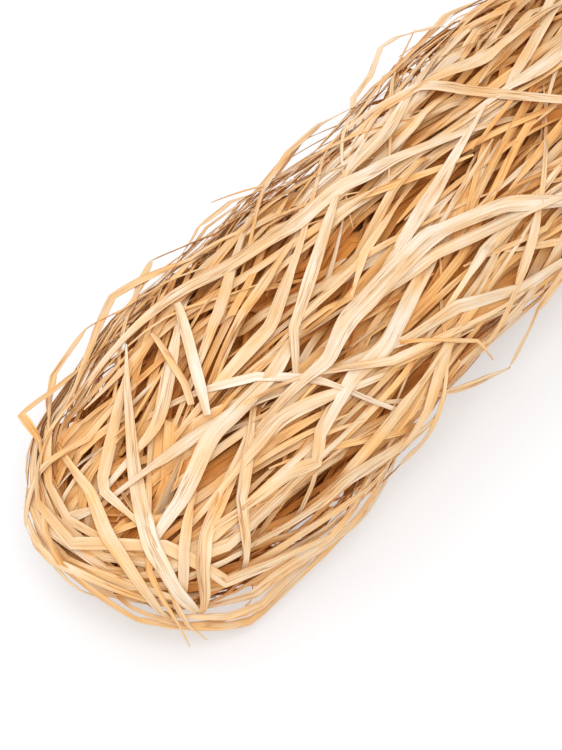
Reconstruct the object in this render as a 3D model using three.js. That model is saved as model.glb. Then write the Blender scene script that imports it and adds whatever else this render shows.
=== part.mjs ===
// A bundle of raffia: a folded hank of flat, dry palm-leaf strips lying on a table.
// The heap holds the many strips that lie along the bundle, and the loose strips cross over it.
// Millimetres, +Z up, +X along the bundle; the origin is on the table, under the bundle's middle.
import * as THREE from "three";

// Driving dimensions of the heap
const STRAIGHT_HALF_LENGTH = 130; // from the middle to where an end starts to round
const FLAT_HALF_WIDTH = 20; // half of the flat top, and of the flat underside
const HALF_HEIGHT_MIDDLE = 31;
const HALF_HEIGHT_ENDS = 24;
const TAPER_START = 80; // from the middle to where the height starts to fall
const GIRTH_RADIUS = 31; // turns a distance down the side into an angle
const HEAP_MIDDLE = [-0.6, -4.7]; // from the origin to the heap's own middle

// Strands that show on the heap
const STRAND_COUNT = 44;
const STATION_COUNT = 24;
const STRAND_TOP = -1.2; // the highest strands, below the surface that loose strips lie on
const STRAND_DEPTH = 4.6; // how much deeper the lowest strands lie
const STRAND_GROOVE = 0.16; // from a strand's edge to halfway to the next strand, in pitches
const STRAND_SLANT = 0.35; // turn of the strands about the bundle, in radians, middle to end
const STRAND_WEAVE = 0.15; // how far a strand wanders to the side, in pitches
const STRAND_PHASE = 2.4; // how far each strand's waves run ahead of the one before, in radians
const SLOW_WAVE = 0.55; // long rise and dip of a strand, in radians for each station
const QUICK_WAVE = 1.3; // short rise and dip of a strand, in radians for each station
const QUICK_SHARE = 0.3; // share of the short one in the whole
const SIDE_WAVE = 0.8; // wandering of a strand, in radians for each station
const FOOT_HEIGHT = 10; // below this the strands even out into the flat underside
const NOSE = 1.5; // from the last ring of strand edges, at its deepest, to the end's own point

// Loose strips
const STRIP_THICKNESS = 0.6;
const STRIP_STEP = 9; // longest straight run of a strip
const STRIP_END_SHARE = 0.45; // width left at a strip's tip
const LAY_GAP = 0.8; // air between strips that cross
const STEEPEST_LAY = 0.5; // rise of a strip over its run where it climbs over another
const WIDEST_MITRE = 1.35;

// Grid that remembers how high the strips laid so far have grown
const CELL = 2;
const GRID_HALF_LENGTH = 240;
const GRID_HALF_WIDTH = 120;
const GRID_ROWS = (2 * GRID_HALF_LENGTH) / CELL;
const GRID_COLUMNS = (2 * GRID_HALF_WIDTH) / CELL;
const LOOKS_ACROSS = 8; // places looked at on each side of a strip's middle for the cells under it

const HEAP_COLOUR = "#c99a66";
const BROWN_STRIP_COLOUR = "#b9803f";
const PALE_STRIP_COLOUR = "#f3dfbb";
const STRIP_ROUGHNESS = 0.55;

// Each loose strip: name, width, paleness from 0 to 1, and its route from first laid to last.
// A route's points are [along, across, lift]: along the bundle from its middle, across from its
// centre line and on down the side, and off the heap where the strip stands clear of it.
const LOOSE_STRIPS = [
  ["end_loop_low", 3.4, 0.3, [[-152, 36], [-163, 32], [-171, 23], [-180, 18], [-188, 4, 1],
    [-190, -14, 1], [-192, -38, 1], [-186, -51, 1], [-175, -64, 1], [-163, -74, 1]]],
  ["end_loop_high", 3.6, 0.5, [[-128, 22], [-140, 22], [-150, 27], [-160, 32], [-170, 34],
    [-183, 36, 1], [-187, 28, 1], [-189, 10, 1], [-183, -19], [-177, -38]]],
  ["fold_strip", 3.8, 0.6, [[-160, 33], [-171, 26], [-177, 3], [-166, -13], [-156, -26],
    [-154, -40], [-150, -54], [-139, -58], [-122, -66], [-105, -74]]],
  ["end_strip_a", 4.2, 0.5, [[-152, 19], [-155, 7], [-161, 0], [-166, -8], [-171, -21], [-178, -41]]],
  ["end_strip_b", 3.6, 0.6, [[-121, 23], [-128, 19], [-138, 13], [-148, 7], [-152, 3], [-153, -5]]],
  ["end_strip_c", 3.3, 0.5, [[-139, -22], [-146, -27], [-153, -32], [-165, -44]]],
  ["side_strip_a", 4.4, 0.6, [[-114, -22], [-120, -25], [-131, -28], [-144, -34], [-153, -42],
    [-162, -54]]],
  ["side_strip_b", 3.8, 0.7, [[-111, -22], [-120, -28], [-127, -34], [-131, -43], [-136, -50]]],
  ["kinked_strip_a", 4.0, 0.8, [[-127, -37], [-119, -39], [-111, -40], [-102, -44], [-95, -38],
    [-88, -36], [-78, -36]]],
  ["lower_strip_a", 4.3, 0.7, [[-121, -26], [-111, -27], [-102, -26], [-91, -29], [-83, -33]]],
  ["lower_strip_b", 4.2, 0.5, [[-58, -50], [-70, -51], [-76, -53], [-86, -54], [-96, -55]]],
  ["lower_strip_c", 4.0, 0.7, [[-112, -55], [-98, -56], [-88, -58], [-77, -60], [-62, -64]]],
  ["side_loop_a", 3.0, 0.4, [[-88, -74], [-80, -77], [-70, -78], [-61, -75], [-54, -67], [-50, -61]]],
  ["side_strip_c", 4.0, 0.5, [[-66, -61], [-58, -59], [-48, -53], [-38, -47], [-31, -46]]],
  ["pale_strip", 4.2, 0.9, [[-136, -3], [-129, -5], [-120, -7], [-114, -9], [-106, -12]]],
  ["split_strip_a", 3.0, 0.4, [[-148, -12], [-158, -20], [-167, -28], [-173, -40, 1],
    [-178, -55, 4], [-179, -62, 10]]],
  ["split_strip_b", 3.0, 0.5, [[-160, -26], [-166, -36], [-172, -47, 1], [-176, -60, 3],
    [-174, -76, 8]]],
  ["wide_slant_strip", 4.4, 0.9, [[-98, 20], [-107, 15], [-116, 9], [-125, 5], [-131, 5]]],
  ["thin_slant_strip", 2.4, 0.5, [[-101, 28], [-106, 17], [-110, 6], [-114, 0]]],
  ["slant_strip", 3.4, 0.8, [[-63, 26], [-72, 21], [-83, 15], [-92, 12], [-98, 9]]],
  ["middle_strip_a", 4.4, 0.7, [[-54, 9], [-60, 6], [-68, 2], [-77, -2], [-87, -3], [-104, -2]]],
  ["middle_strip_b", 3.3, 0.4, [[-57, 14], [-66, 12], [-75, 9], [-81, 8]]],
  ["cross_strip_a", 3.6, 1.0, [[-107, 0], [-100, -5], [-94, -10], [-90, -16], [-86, -24], [-83, -29]]],
  ["pale_wide_strip", 5.4, 1.0, [[-79, -11], [-90, -14], [-99, -14], [-108, -13], [-117, -12],
    [-129, -14], [-142, -17], [-150, -20]]],
  ["long_crossing_strip", 5.4, 0.9, [[-107, 35], [-115, 26], [-122, 19], [-130, 10], [-139, 2],
    [-149, -10], [-159, -22], [-162, -30], [-166, -40], [-168, -52]]],
  ["upright_strip", 3.8, 0.8, [[-83, -17], [-73, -8], [-62, -3], [-51, 3], [-43, 7], [-34, 11],
    [-26, 15]]],
  ["kinked_strip_b", 2.8, 0.6, [[-66, -7], [-53, -6], [-43, -6], [-34, -6], [-27, -8], [-20, -10]]],
  ["middle_strip_c", 2.8, 0.5, [[-13, 0], [-24, -2], [-34, -5], [-42, -9]]],
  ["ridge_strip", 4.8, 0.8, [[-104, 36], [-96, 33], [-88, 31], [-80, 28], [-70, 26], [-60, 25],
    [-50, 23], [-40, 21], [-28, 21], [-14, 19], [-6, 16], [2, 15], [10, 11], [18, 9], [27, 5]]],
  ["pale_stick", 3.4, 1.0, [[-88, 28], [-95, 20], [-101, 11], [-109, 0], [-114, -7]]],
  ["cross_strip_b", 4.0, 0.9, [[-58, -33], [-50, -36], [-40, -38], [-27, -40], [-15, -45],
    [-3, -51], [9, -54], [20, -56]]],
  ["wide_strip_a", 5.6, 1.0, [[-20, -23], [-29, -26], [-38, -28], [-46, -29], [-57, -33],
    [-66, -33], [-75, -33], [-83, -35]]],
  ["thin_long_strip", 2.6, 0.6, [[-88, -22], [-81, -26], [-75, -29], [-66, -34], [-59, -38],
    [-48, -42], [-37, -45], [-28, -47]]],
  ["lower_strip_d", 3.4, 0.8, [[-16, -35], [-6, -33], [4, -34], [11, -33]]],
  ["lower_strip_e", 3.4, 0.6, [[20, -36], [9, -42], [-1, -48]]],
  ["tail_strip", 3.2, 0.1, [[-40, -44], [-34, -49], [-27, -54], [-24, -64, 2]]],
  ["side_loop_b", 3.2, 0.6, [[-48, -60], [-36, -66], [-25, -73, 1], [-14, -78, 3], [-6, -73, 1],
    [3, -64], [12, -61], [24, -57]]],
  ["wide_strip_b", 5.0, 0.9, [[-40, -20], [-25, -22], [-12, -26], [0, -30], [15, -33]]],
  ["leaf_strip", 6.0, 1.0, [[-26, -13], [-18, -11], [-9, -8], [0, -6], [12, -4], [21, -1], [35, 3],
    [46, 6]]],
  ["strip_beside_leaf", 3.4, 0.8, [[-2, -15], [6, -12], [15, -10], [25, -9], [34, -6]]],
  ["widest_strip", 6.4, 1.0, [[-85, -24], [-78, -25], [-71, -23], [-65, -20], [-58, -18], [-44, -17],
    [-35, -17], [-25, -18], [-14, -18], [-5, -20], [3, -24], [12, -27], [20, -31], [28, -37]]],
  ["far_strip_a", 4.4, 0.8, [[32, 28], [23, 25], [13, 23], [4, 23], [-4, 22]]],
  ["far_cross_strip", 4.0, 0.8, [[28, 31], [36, 27], [44, 19], [50, 9], [56, -2], [62, -11],
    [66, -18]]],
  ["far_strip_b", 4.2, 0.8, [[96, 15], [88, 14], [80, 12], [70, 9], [63, 7]]],
  ["far_strip_c", 5.4, 0.9, [[92, 2], [86, 2], [72, 2], [60, 4]]],
  ["far_strip_d", 4.4, 0.7, [[42, 25], [53, 22], [64, 19], [82, 18], [95, 17]]],
  ["left_corner_strip", 3.2, 0.3, [[-112, 46], [-121, 50, 3], [-143, 52, 11], [-148, 45, 2]]],
  ["left_loop_strip", 3.2, 0.4, [[-84, 44], [-95, 50, 3], [-104, 57, 9], [-122, 59, 10],
    [-130, 55, 6], [-137, 48, 1]]],
  ["left_bow_strip", 3.4, 0.5, [[-66, 44], [-78, 50, 4], [-91, 55, 9], [-105, 52, 6], [-115, 48, 3],
    [-128, 44]]],
  ["back_bow_strip", 3.0, 0.5, [[-52, 46], [-62, 50, 3], [-72, 54, 8], [-82, 52, 5], [-92, 47]]],
  ["back_kink_strip", 3.0, 0.4, [[-72, 46], [-62, 50, 3], [-51, 53, 6], [-36, 52, 5], [-26, 48]]],
  ["tip_strip", 3.0, 0.4, [[-14, 44], [-24, 49, 2], [-33, 54, 6], [-38, 57, 10]]],
  ["upper_bow_strip", 2.8, 0.5, [[-26, 45], [-20, 49, 2], [-6, 52, 5], [11, 52, 5], [20, 49, 2],
    [30, 45]]],
  ["hook_strip", 2.6, 0.5, [[20, 46], [27, 50, 4], [40, 52, 6], [46, 52, 9], [51, 52, 11],
    [59, 52, 10], [66, 51, 7], [72, 48, 3]]],
  ["upright_stick", 3.2, 0.4, [[43, 45], [48, 49, 2], [58, 52, 5], [68, 53, 8]]],
  ["far_bow_strip", 3.2, 0.4, [[44, 47], [64, 50, 2], [81, 52, 4], [90, 49, 2], [98, 44]]],
  ["far_loop_low", 3.6, 0.5, [[118, 38], [140, 44], [163, 46, 1], [184, 30, 2], [191, 6, 2],
    [184, -22, 2], [160, -44, 1], [138, -46]]],
  ["far_loop_high", 4.0, 0.7, [[104, 6], [128, 10], [152, 14], [176, 16, 1], [188, 2, 2],
    [178, -16, 1], [152, -22], [120, -26]]],
  ["back_strip", 4.0, 0.6, [[-70, 56], [-45, 62], [-18, 60], [10, 66]]],
];

const { clamp, lerp, smoothstep } = THREE.MathUtils;

function halfHeight(x) {
  const share = smoothstep(Math.abs(x), TAPER_START, STRAIGHT_HALF_LENGTH + FLAT_HALF_WIDTH);
  return lerp(HALF_HEIGHT_MIDDLE, HALF_HEIGHT_ENDS, share);
}

// The place of a point given along the bundle, across it over the top and down its side, and off it
function place(along, across, lift) {
  const straight = clamp(along, -STRAIGHT_HALF_LENGTH, STRAIGHT_HALF_LENGTH);
  const reach = Math.hypot(along - straight, across);
  const outX = reach > 0 ? (along - straight) / reach : 0;
  const outY = reach > 0 ? across / reach : 0;
  const flat = Math.min(reach, FLAT_HALF_WIDTH);
  const turn = (reach - flat) / GIRTH_RADIUS;
  const footX = straight + outX * flat;
  const rise = halfHeight(footX);
  const out = (rise + lift) * Math.sin(turn);
  const z = rise + (rise + lift) * Math.cos(turn);
  return new THREE.Vector3(footX + outX * out, outY * (flat + out), z);
}

// A point of the heap in the section at x, at an angle about the bundle, with the strand's depth
function heapPoint(x, angle, depth) {
  const beyond = Math.max(Math.abs(x) - STRAIGHT_HALF_LENGTH, 0);
  const rise = halfHeight(x);
  const section = (radius) => {
    const widest = Math.sqrt(Math.max((FLAT_HALF_WIDTH + radius) ** 2 - beyond ** 2, 0));
    const y = widest * Math.cos(angle);
    const over = Math.max(Math.hypot(beyond, y) - FLAT_HALF_WIDTH, 0);
    const half = Math.sqrt(Math.max(radius ** 2 - over ** 2, 0));
    return new THREE.Vector3(x, y, rise + Math.sign(Math.sin(angle)) * half);
  };
  const evened = smoothstep(section(rise).z, 0, FOOT_HEIGHT);
  return section(rise + depth * evened);
}

function meshGeometry(points, triangles) {
  const geometry = new THREE.BufferGeometry().setFromPoints(points);
  geometry.setIndex(triangles);
  geometry.computeVertexNormals();
  return geometry;
}

// How deep a strand lies at a station: each one rises and dips along the bundle on its own
function strandDepth(strand, station) {
  const slow = Math.sin(strand * STRAND_PHASE + station * SLOW_WAVE);
  const quick = Math.sin(strand * STRAND_PHASE + station * QUICK_WAVE);
  const wave = lerp(slow, quick, QUICK_SHARE);
  return STRAND_TOP - (STRAND_DEPTH * (1 + wave)) / 2;
}

// The heap: closed rings of strand edges from one end to the other, and a point at each end
function heapGeometry() {
  const endX = STRAIGHT_HALF_LENGTH + FLAT_HALF_WIDTH + HALF_HEIGHT_ENDS + STRAND_TOP;
  const lastRingX = endX - STRAND_DEPTH - NOSE;
  const pitch = (2 * Math.PI) / STRAND_COUNT;
  const ringSize = 2 * STRAND_COUNT;
  const points = [];
  for (let station = 0; station < STATION_COUNT; station += 1) {
    const share = -Math.cos((Math.PI * (station + 0.5)) / STATION_COUNT);
    const x = share * lastRingX;
    for (let strand = 0; strand < STRAND_COUNT; strand += 1) {
      const depth = strandDepth(strand, station);
      const weave = STRAND_WEAVE * Math.sin(strand * STRAND_PHASE + station * SIDE_WAVE);
      const start = (strand + weave) * pitch + STRAND_SLANT * share;
      points.push(heapPoint(x, start + STRAND_GROOVE * pitch, depth));
      points.push(heapPoint(x, start + pitch * (1 - STRAND_GROOVE), depth));
    }
  }
  const nearEnd = points.length;
  points.push(new THREE.Vector3(-endX, 0, HALF_HEIGHT_ENDS));
  points.push(new THREE.Vector3(endX, 0, HALF_HEIGHT_ENDS));

  const triangles = [];
  const lastRing = (STATION_COUNT - 1) * ringSize;
  for (let edge = 0; edge < ringSize; edge += 1) {
    const next = (edge + 1) % ringSize;
    triangles.push(nearEnd, next, edge);
    triangles.push(nearEnd + 1, lastRing + edge, lastRing + next);
    for (let ring = 0; ring < lastRing; ring += ringSize) {
      triangles.push(ring + edge, ring + next, ring + ringSize + edge);
      triangles.push(ring + next, ring + ringSize + next, ring + ringSize + edge);
    }
  }
  return meshGeometry(points, triangles);
}

// The route cut into short straight runs, keeping its own points
function stepsAlong(route) {
  const steps = [];
  route.forEach(([along, across, lift = 0], index) => {
    if (index > 0) {
      const from = steps[steps.length - 1];
      const runs = Math.ceil(Math.hypot(along - from.along, across - from.across) / STRIP_STEP);
      for (let run = 1; run < runs; run += 1) {
        const share = run / runs;
        steps.push({
          along: lerp(from.along, along, share),
          across: lerp(from.across, across, share),
          lift: lerp(from.lift, lift, share),
        });
      }
    }
    steps.push({ along, across, lift });
  });
  return steps;
}

// Gives each step the vector from its middle to its left edge, mitred where the strip turns
function addEdges(steps, width) {
  const last = steps.length - 1;
  const heading = (from, to) =>
    new THREE.Vector2(to.along - from.along, to.across - from.across).normalize();
  steps.forEach((step, index) => {
    const arriving = heading(steps[Math.max(index - 1, 0)], steps[Math.max(index, 1)]);
    const leaving = heading(steps[Math.min(index, last - 1)], steps[Math.min(index + 1, last)]);
    const middle = arriving.clone().add(leaving).normalize();
    const left = new THREE.Vector2(-middle.y, middle.x);
    const leftPoint = place(step.along + left.x / 2, step.across + left.y / 2, step.lift);
    const rightPoint = place(step.along - left.x / 2, step.across - left.y / 2, step.lift);
    const stretch = leftPoint.distanceTo(rightPoint);
    const mitre = Math.min(1 / middle.dot(leaving), WIDEST_MITRE);
    const share = index === 0 || index === last ? STRIP_END_SHARE : mitre;
    step.edge = left.multiplyScalar((share * width) / 2 / stretch);
  });
}

// The cells of the grid under the run from one step to the next
function cellsUnder(from, to) {
  const cells = new Set();
  const length = Math.hypot(to.along - from.along, to.across - from.across);
  const alongRuns = Math.ceil((2 * length) / CELL) + 1;
  const margin = 1 + CELL / 2 / Math.max(from.edge.length(), to.edge.length());
  for (let i = 0; i <= alongRuns; i += 1) {
    for (let j = -LOOKS_ACROSS; j <= LOOKS_ACROSS; j += 1) {
      const share = i / alongRuns;
      const side = (margin * j) / LOOKS_ACROSS;
      const along = lerp(from.along + side * from.edge.x, to.along + side * to.edge.x, share);
      const across = lerp(from.across + side * from.edge.y, to.across + side * to.edge.y, share);
      const row = Math.floor((along + GRID_HALF_LENGTH) / CELL);
      const column = Math.floor((across + GRID_HALF_WIDTH) / CELL);
      cells.add(row * GRID_COLUMNS + column);
    }
  }
  return [...cells];
}

// Lays a strip on all that lies under it, and raises the grid to the strip's top
function lay(steps, grid) {
  const runs = steps.slice(1).map((step, index) => cellsUnder(steps[index], step));
  runs.forEach((cells, index) => {
    const low = Math.max(...cells.map((cell) => grid[cell])) + LAY_GAP;
    steps[index].lift = Math.max(steps[index].lift, low);
    steps[index + 1].lift = Math.max(steps[index + 1].lift, low);
  });
  const follow = (step, neighbour) => {
    const run = Math.hypot(step.along - neighbour.along, step.across - neighbour.across);
    step.lift = Math.max(step.lift, neighbour.lift - STEEPEST_LAY * run);
  };
  steps.slice(1).forEach((step, index) => follow(step, steps[index]));
  steps.slice(0, -1).reverse().forEach((step, index) => follow(step, steps[steps.length - 1 - index]));
  runs.forEach((cells, index) => {
    const top = Math.max(steps[index].lift, steps[index + 1].lift) + STRIP_THICKNESS;
    cells.forEach((cell) => {
      grid[cell] = Math.max(grid[cell], top);
    });
  });
}

// A flat closed ribbon through the steps, with four corners at each
function stripGeometry(steps) {
  const points = [];
  steps.forEach(({ along, across, lift, edge }) => {
    const top = lift + STRIP_THICKNESS;
    points.push(place(along + edge.x, across + edge.y, lift));
    points.push(place(along - edge.x, across - edge.y, lift));
    points.push(place(along - edge.x, across - edge.y, top));
    points.push(place(along + edge.x, across + edge.y, top));
  });
  const lastCorner = points.length - 4;
  const triangles = [0, 1, 2, 0, 2, 3];
  triangles.push(lastCorner, lastCorner + 2, lastCorner + 1);
  triangles.push(lastCorner, lastCorner + 3, lastCorner + 2);
  for (let start = 0; start < lastCorner; start += 4) {
    for (let corner = 0; corner < 4; corner += 1) {
      const here = start + corner;
      const beside = start + ((corner + 1) % 4);
      triangles.push(here, here + 4, beside);
      triangles.push(beside, here + 4, beside + 4);
    }
  }
  return meshGeometry(points, triangles);
}

function raffiaMaterial(colour) {
  return new THREE.MeshStandardMaterial({ color: colour, roughness: STRIP_ROUGHNESS, metalness: 0 });
}

const bundle = new THREE.Group();
bundle.name = "raffia_bundle";
bundle.position.set(HEAP_MIDDLE[0], HEAP_MIDDLE[1], 0);

const heap = new THREE.Mesh(heapGeometry(), raffiaMaterial(HEAP_COLOUR));
heap.name = "strand_heap";
bundle.add(heap);

const grid = new Float32Array(GRID_ROWS * GRID_COLUMNS).fill(STRAND_TOP);
LOOSE_STRIPS.forEach(([name, width, paleness, route]) => {
  const steps = stepsAlong(route);
  addEdges(steps, width);
  lay(steps, grid);
  const colour = new THREE.Color(BROWN_STRIP_COLOUR).lerp(new THREE.Color(PALE_STRIP_COLOUR), paleness);
  const strip = new THREE.Mesh(stripGeometry(steps), raffiaMaterial(colour));
  strip.name = name;
  bundle.add(strip);
});

export default bundle;
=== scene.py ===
"""A bundle of raffia on a pale floor: its bulk strips, and the loose strips that lie over them."""

import math
from types import SimpleNamespace

import bpy
import numpy as np
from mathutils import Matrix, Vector


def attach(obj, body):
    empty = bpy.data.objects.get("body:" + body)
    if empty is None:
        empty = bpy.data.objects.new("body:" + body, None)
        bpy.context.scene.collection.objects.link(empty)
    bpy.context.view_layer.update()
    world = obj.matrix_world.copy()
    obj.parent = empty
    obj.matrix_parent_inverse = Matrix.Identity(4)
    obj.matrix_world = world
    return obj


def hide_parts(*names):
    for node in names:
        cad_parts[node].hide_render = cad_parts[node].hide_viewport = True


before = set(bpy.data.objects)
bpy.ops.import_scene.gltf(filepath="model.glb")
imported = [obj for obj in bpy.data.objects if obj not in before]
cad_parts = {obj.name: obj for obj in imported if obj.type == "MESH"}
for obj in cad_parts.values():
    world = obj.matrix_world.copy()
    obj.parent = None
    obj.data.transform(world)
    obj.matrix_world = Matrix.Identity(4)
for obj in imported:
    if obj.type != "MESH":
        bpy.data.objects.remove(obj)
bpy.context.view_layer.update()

MILLIMETRE = 0.001
TINY = 1e-9

# The bundle's form, in millimetres, as the CAD source has it
STRAIGHT_HALF_LENGTH = 130
FLAT_HALF_WIDTH = 20
HALF_HEIGHT_MIDDLE = 31
HALF_HEIGHT_ENDS = 24
TAPER_START = 80
GIRTH_RADIUS = 31
HEAP_MIDDLE = np.array([-0.6, -4.7, 0.0])
EQUATOR = FLAT_HALF_WIDTH + GIRTH_RADIUS * math.pi / 2  # from the centre line down to mid height

# Bulk strips: how many, and how they wander. Orders go from 0, laid first and inside, to 1, laid last
SEED = 7
LOCK_COUNT = 420  # strips lie in locks, side by side
LOCK_SIZES = (1, 2, 3, 4)
LOCK_SPACING = 2
LOCK_SPACING_SPREAD = 0.6
LOCK_TONE = (0.71, 0.09)  # mean and spread
WEAVE = 0.8  # share of the spacing by which a lock's strips draw together and apart
WEAVE_LENGTHS = (60, 140)  # for each radian of that
WEAVE_PHASES = (0, 6)
TRIM = 4  # a lock's strips stop short of its ends by up to one part in this
START_ALONG = 180
START_ACROSS = 66
EVEN_STEPS = SimpleNamespace(along=0.7549, across=0.5698, order=0.6180)  # that fill their ranges evenly
BULK_LENGTHS = (260, 640)
BULK_WIDTH = 2.8
BULK_WIDTH_SPREAD = 0.36
BULK_WIDTH_LIMITS = (1.2, 6.4)
BULK_TONE_SPREAD = 0.06
BULK_PIECES = 12
STEP = 2.5  # between a strip's samples
RUN_SHAPE = 2.2  # straight runs between kinks
RUN_SCALE = 25
LONGEST_RUN = 30  # samples of a strip that are laid at once
HEADING_SPREAD = math.radians(13)
END_HEADING_SPREAD = math.radians(30)  # the strips lie less in line near the ends
END_HEADING = (90, 160)  # where that begins along the bundle, and where it is full
OUTWARD = 0.62  # below 1, more of the strips lie outside than inside
ORDER_SPREAD = 0.05  # within a lock
ORDER_SWING = 0.14  # how much a strip rises and sinks among the others along its length
ORDER_WAVES = (140, 320)
TIP_SINK = 0.25  # how far below its own place a bulk strip's tips lie
TIP_RUN = 60
OPEN_TIPS = 0.2  # share of the bulk strips whose tips don't sink
TIP_WIDTH = 0.25  # share of its width that a bulk or short strip keeps at its tips
TIP_TAPERS = (6, 45)  # lengths over which a bulk strip narrows to them

# How strips lie, inside the heap and on its outside
ROLLS = (math.radians(4), math.radians(25))
LAY_GAPS = (0.0, 0.12)
STIFFNESSES = (0.3, 0.014)  # how fast a strip bends down past a support
LEAST_STRETCH = 0.15  # of a section, where the form narrows over the ends
LOFT_ORDER = 0.82  # bulk strips above this have loops that stand off the heap
LOFT = 1.5
LOFT_LIMIT = 6
LOFT_SPACING = 110
LOFT_HALF_LENGTHS = (18, 45)
LOFT_REACHES = (28, 48)  # no loops stand off the heap's sides

# Short strips on the bulk: thin wisps on top, and fillers in its hollows. Tones are mean and spread
SHORT_TAPER = 25
WISP_COUNT = 10
WISP = SimpleNamespace(lengths=(30.0, 90.0), widths=(0.8, 2.0), heading_spread=math.radians(11),
                       along=150.0, across=52.0, order=1.0, tone=(0.62, 0.08))
FILLER_COUNT = 130
FILLER_TRIES = 12  # of these the one over the deepest hollow is kept
FILLER = SimpleNamespace(lengths=(70.0, 150.0), widths=(1.6, 3.4), heading_spread=math.radians(13),
                         along=170.0, across=95.0, order=0.75, tone=(0.61, 0.1))

# Strips that run round the ends, inside the loops there
NEAR_ARC_COUNT = 18
FAR_ARC_COUNT = 12
ARC_WIDTHS = (2.0, 3.8)
ARC_PALENESS = (0.4, 0.9)
ARC_REACHES = (38, 72)  # from the centre line
ARC_ANGLES = (78, 48, 18, -12, -42, -72)  # of the kinks, round the end
ARC_ANGLE_SPREAD = 7
FEWEST_ARC_KINKS = 3
ARC_STARTS = (80, 118)
ARC_SINKS = (5, 12)  # below the form's own surface
ARC_FAR_SHARE = 0.62  # of them start on the far side

# Thin strips that bow a little off the far side
FRINGE_COUNT = 14
FRINGE_WIDTHS = (1.4, 2.6)
FRINGE_PALENESS = (0.4, 0.8)
FRINGE_STARTS = (-140, 60)
FRINGE_LENGTHS = (35, 75)
FRINGE_REACHES = (44, 52)
FRINGE_LIFTS = (2, 5)
FRINGE_PEAKS = (0.35, 0.65)  # where along it a fringe strip stands off most

# Strips that stand off low on the near side: width, paleness and route
LOW_ROLL = math.radians(-65)  # their flat sides face out and up
LOW_STRIPS = [
    [2.6, 0.4, [-186, -40], [-178, -60, 2], [-163, -76, 5], [-146, -86, 8], [-128, -89, 8], [-108, -85, 5],
     [-90, -78, 1]],
    [2.6, 0.6, [-174, -58], [-158, -72, 3], [-138, -80, 5], [-116, -78, 3], [-98, -70]],
    [3.0, 0.7, [-158, -64], [-142, -71, 2], [-120, -73, 2], [-84, -84]],
]

# Laying
CELL = 2.5
FIELD_MARGIN = 4  # cells
START_LEVEL = 8.0  # above mid height, where the laying starts
TOP_LEVEL = 30.4  # where the bulk ends, on average, below the form's own surface
END_SINK = 8.5  # how much lower the bulk ends round the near end, inside the loops there
END_SINK_ALONG = (-110, -155)
END_SINK_REACHES = (25, 58)
DENT = 8  # depth of the hollow low in the near side, behind the loop there
DENT_RISE = (-78, -32)  # along the bundle
DENT_FALL = (5, 100)
DENT_TOP = (52, 80)  # round the girth from the centre line
DENT_FOOT = (105, 132)
PAINTED_DEPTH_SHADE = 0.026  # painted shade: how much browner strips are made for each millimetre of depth in the heap
PAINTED_DEPTH_SHADE_GAIN = 0.005  # and how that grows with the depth
BLUR_PASSES = 60
SHEET_BLEND = 20
STRAIGHTNESS = 0.7  # how nearly straight a run is made after the fit
FREE_DEPTH = 7  # the outer layers, which are left as laid
STICKS_OUT = 0.9  # runs are moved down to this above the bulk's mean top
EASE_PASSES = 10
LOOSE_EASE_PASSES = 6
LOFT_EASE_PASSES = 30
BURIED = 0.3  # how far supports may stand up through a loose strip

# Ribbons
THICKNESS = 0.16
LOOSE_POINTS, LOOSE_STRIDE = 5, 1  # points across a strip, and samples from ring to ring
OUTER_POINTS, OUTER_STRIDE = 4, 3
INNER_POINTS, INNER_STRIDE = 2, 6
OUTER_ORDER = 0.58  # bulk strips that never rise above this are made plainer
TIP_SAMPLES = 3  # samples at a strip's tips that all get a ring
POINT_SCATTER = 0.2
FACET = 0.022  # how uneven a section is, as a share of its width
FACET_PASSES = 2
FOLD = 0.13  # slope of the fold along a strip
FOLD_OFF_MIDDLE = 0.4
EDGE = 0.2  # how uneven the edges are
EDGE_PASSES = 9
SHARP_ANGLE = math.radians(24)
FACE_UP = 0.45  # how far strips turn their flat side up where they stand clear of the heap
FACE_UP_FROM = -0.3  # not where they face down more than this
STANDS_CLEAR = 4
FLOOR_EASE = 2.5  # below this height strips are pressed together, so that none goes through the floor

# How loose strips run
TAIL = 60  # how far a loose strip runs on under the others
TAIL_BEND = 0.002
TAIL_ORDERS = (1.0, 0.93)
TAIL_EASE = 40  # over which a tail comes down from the level of its strip
SLACK = 1.1  # a route's straight runs pass its points by up to this
WIDE_STRIP = 4.1  # strips over this width bend softly, and narrower ones kink
BEND_PASSES = 2
LOOSE_ROLL = math.radians(12)
LOOSE_SINK = 0.4  # how far below the form's own surface they may lie
LEAST_TONE = 0.46  # at paleness 0
PALENESS_TONE = 0.44  # added at paleness 1
MIDDLE_WIDTH = 1.06  # share of its width that a loose strip has half way along its route
WIDTH_LOSS = 0.45  # and what it has less at the route's ends
WIDTH_CURVE = 2.5
TAPER = 70  # it narrows to its tips over this length
TAPER_TIP = 0.1
TAPER_CURVE = 0.8

# The strip map, which the grain follows: its scale, and how far apart strips may lie on it
MAP_SCALE = 0.1
MAP_SPREAD = 900

# The bake map: its sides' height, the gaps beside its columns, and its row of end caps
BAKE_SIDES = 0.98
BAKE_MARGIN = 0.06
BAKE_CAPS = (0.988, 0.998)
BAKE_CAP_WIDTH = 0.8

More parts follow.
